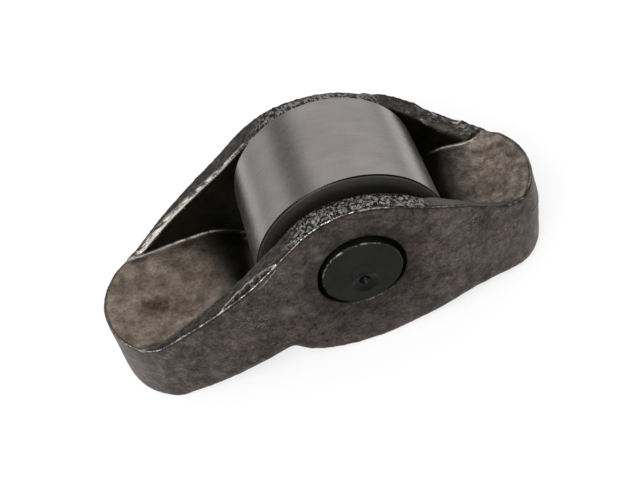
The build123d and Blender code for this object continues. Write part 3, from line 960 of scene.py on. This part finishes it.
# the sheet is lit round the part and falls off away from it
ftc = fm.node_tree.nodes.new("ShaderNodeTexCoord")
flen = fm.node_tree.nodes.new("ShaderNodeVectorMath")
flen.operation = "LENGTH"
fm.node_tree.links.new(ftc.outputs["Object"], flen.inputs[0])
ffall = fm.node_tree.nodes.new("ShaderNodeMapRange")
ffall.interpolation_type = "SMOOTHSTEP"
fm.node_tree.links.new(flen.outputs["Value"], ffall.inputs["Value"])
ffall.inputs["From Min"].default_value = 0.100
ffall.inputs["From Max"].default_value = 0.170
ffall.inputs["To Min"].default_value = 0.72
ffall.inputs["To Max"].default_value = 0.20
fm.node_tree.links.new(ffall.outputs["Result"], fb.inputs["Emission Strength"])
fb.inputs["Roughness"].default_value = 0.9
fb.inputs["Specular IOR Level"].default_value = 0.1
me.materials.append(fm)

world = bpy.data.worlds.new("studio")
scene.world = world
world.use_nodes = True
wn_t = world.node_tree
wbg = wn_t.nodes["Background"]
wbg.inputs["Strength"].default_value = 0.62
wtc = wn_t.nodes.new("ShaderNodeTexCoord")
wdot = wn_t.nodes.new("ShaderNodeVectorMath")
wdot.operation = "DOT_PRODUCT"
wn_t.links.new(wtc.outputs["Generated"], wdot.inputs[0])
wdot.inputs[1].default_value = Vector((-0.41, 0.74, 0.53)).normalized()
wgap = wn_t.nodes.new("ShaderNodeMapRange")
wgap.interpolation_type = "SMOOTHSTEP"
wn_t.links.new(wdot.outputs["Value"], wgap.inputs["Value"])
wgap.inputs["From Min"].default_value = math.cos(math.radians(15))
wgap.inputs["From Max"].default_value = math.cos(math.radians(6))
wgap.inputs["To Min"].default_value = 1.0
wgap.inputs["To Max"].default_value = 0.12
wdot2 = wn_t.nodes.new("ShaderNodeVectorMath")
wdot2.operation = "DOT_PRODUCT"
wn_t.links.new(wtc.outputs["Generated"], wdot2.inputs[0])
wdot2.inputs[1].default_value = Vector((-0.60, 0.73, 0.33)).normalized()
wlow = wn_t.nodes.new("ShaderNodeMapRange")
wlow.interpolation_type = "SMOOTHSTEP"
wn_t.links.new(wdot2.outputs["Value"], wlow.inputs["Value"])
wlow.inputs["From Min"].default_value = math.cos(math.radians(18))
wlow.inputs["From Max"].default_value = math.cos(math.radians(5))
wlow.inputs["To Min"].default_value = 1.0
wlow.inputs["To Max"].default_value = 1.40
wdot3 = wn_t.nodes.new("ShaderNodeVectorMath")
wdot3.operation = "DOT_PRODUCT"
wn_t.links.new(wtc.outputs["Generated"], wdot3.inputs[0])
wdot3.inputs[1].default_value = Vector((0.35, 0.745, 0.57)).normalized()
wsky = wn_t.nodes.new("ShaderNodeMapRange")
wsky.interpolation_type = "SMOOTHSTEP"
wn_t.links.new(wdot3.outputs["Value"], wsky.inputs["Value"])
wsky.inputs["From Min"].default_value = math.cos(math.radians(56))
wsky.inputs["From Max"].default_value = math.cos(math.radians(37))
wsky.inputs["To Min"].default_value = 1.0
wsky.inputs["To Max"].default_value = 1.42
wboth = wn_t.nodes.new("ShaderNodeMath")
wboth.operation = "MULTIPLY"
wn_t.links.new(wgap.outputs["Result"], wboth.inputs[0])
wn_t.links.new(wlow.outputs["Result"], wboth.inputs[1])
wall_all = wn_t.nodes.new("ShaderNodeMath")
wall_all.operation = "MULTIPLY"
wn_t.links.new(wboth.outputs[0], wall_all.inputs[0])
wn_t.links.new(wsky.outputs["Result"], wall_all.inputs[1])
wmix = wn_t.nodes.new("ShaderNodeCombineColor")
for k in range(3):
    wn_t.links.new(wall_all.outputs[0], wmix.inputs[k])
wn_t.links.new(wmix.outputs["Color"], wbg.inputs["Color"])


def softbox(name, place, size, power, target=(0, 0, 0), size_y=None):
    data = bpy.data.lights.new(name, "AREA")
    data.shape = "RECTANGLE"
    data.size = size
    data.size_y = size_y or size
    data.energy = power
    o = bpy.data.objects.new(name, data)
    o.location = place
    o.rotation_mode = "QUATERNION"
    o.rotation_quaternion = (Vector(target) - Vector(place)).to_track_quat(
        "-Z", "Y")
    scene.collection.objects.link(o)
    return o


softbox("key", (-0.13, -0.29, 0.38), 0.26, 1.8)
softbox("left", (-0.34, -0.10, 0.12), 0.16, 0.30, (-0.02, 0, -0.005))

AZ, EL, ROLL = (math.radians(v) for v in (-3.779, 47.274, -14.125))
TARGET = Vector((-3.003, 0.0, -4.004))
back = Vector((math.sin(AZ) * math.cos(EL), -math.cos(AZ) * math.cos(EL),
               math.sin(EL)))
place = TARGET + back * 123.52
right = (-back).cross(Vector((0, 0, 1))).normalized()
upv = right.cross(-back)
cam_x = math.cos(ROLL) * right + math.sin(ROLL) * upv
cam_y = -math.sin(ROLL) * right + math.cos(ROLL) * upv
turn = Matrix.Rotation(LEVEL, 4, "Y")
cm = Matrix.Identity(4)
for k, v in enumerate((cam_x, cam_y, back)):
    for r in range(3):
        cm[r][k] = v[r]
for r in range(3):
    cm[r][3] = place[r] * MM
cd = bpy.data.cameras.new("camera")
cd.lens = 58.67
cd.sensor_width = 36.0
cd.clip_start = 0.005
cd.clip_end = 10.0
camera = bpy.data.objects.new("camera", cd)
scene.collection.objects.link(camera)
camera.matrix_world = turn @ cm
scene.camera = camera
scene.view_settings.view_transform = "Standard"
say("stage")
